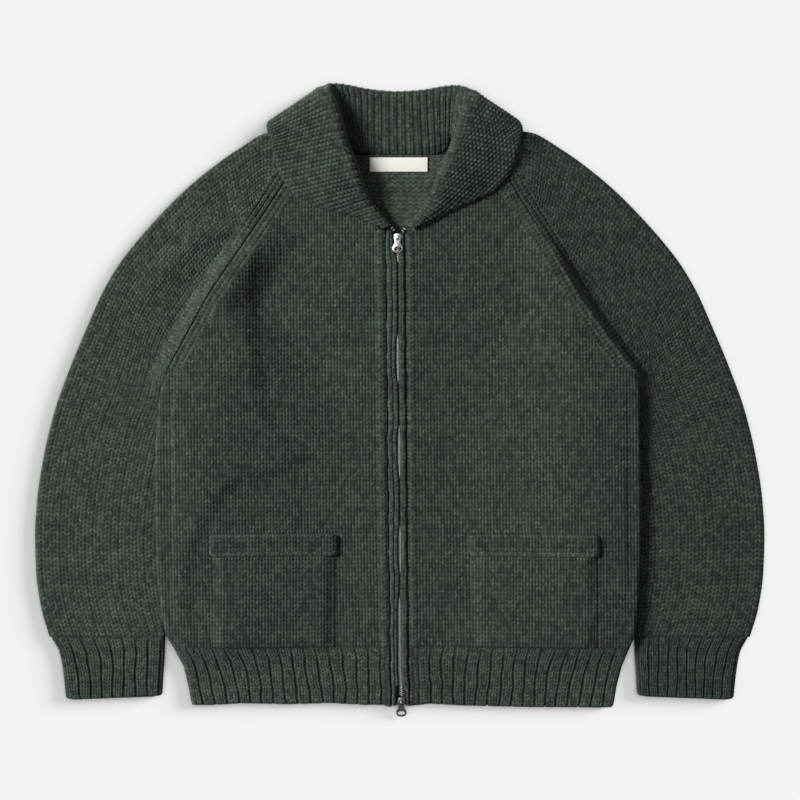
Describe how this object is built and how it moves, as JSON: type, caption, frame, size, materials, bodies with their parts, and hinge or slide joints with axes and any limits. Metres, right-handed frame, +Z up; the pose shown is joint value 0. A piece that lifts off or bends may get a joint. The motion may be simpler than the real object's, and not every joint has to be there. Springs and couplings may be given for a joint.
{
  "type": "knitted zip cardigan laid flat",
  "caption": "Chunky knitted zip cardigan with raglan sleeves, shawl collar, ribbed hem and cuffs and patch pockets, laid flat.",
  "frame": {"origin": "centre of the bounding box in plan, at the height of the surface that the garment lies on", "axes": "+X across the garment from its left to its right as pictured, +Y from the hem to the collar, +Z up from the surface"},
  "size_m": [0.876, 0.7604, 0.0346],
  "materials": {
    "knit": "chunky plain knit",
    "rib_knit": "chunky ribbed knit",
    "tape": "woven tape",
    "metal": "satin nickel plate",
    "label_cloth": "woven satin, blank"
  },
  "bodies": {
    "garment": {"back": "knit", "front_left": "knit", "front_right": "knit", "sleeve_left": "knit", "sleeve_right": "knit", "cuff_left": "rib_knit", "cuff_right": "rib_knit", "hem_back": "rib_knit", "hem_left": "rib_knit", "hem_right": "rib_knit", "collar": "rib_knit", "band_left": "knit", "band_right": "knit", "pocket_left": "knit", "pocket_right": "knit", "pocket_band_left": "knit", "pocket_band_right": "knit", "zip_tape_left": "tape", "zip_tape_right": "tape", "zip_chain": "metal", "slider_top": "metal", "slider_bottom": "metal", "label": "label_cloth"},
    "top_pull": {"pull_top": "metal"},
    "bottom_pull": {"pull_bottom": "metal"}
  },
  "joints": [
    {"name": "top_pull_swing", "type": "hinge", "parent": "garment", "child": "top_pull", "pos_m": [-0.00253, 0.195, 0.0114], "axis": [-1, 0, 0], "range_deg": [0, 140]},
    {"name": "bottom_pull_swing", "type": "hinge", "parent": "garment", "child": "bottom_pull", "pos_m": [0.002, -0.362, 0.0114], "axis": [-1, 0, 0], "range_deg": [0, 140]}
  ]
}
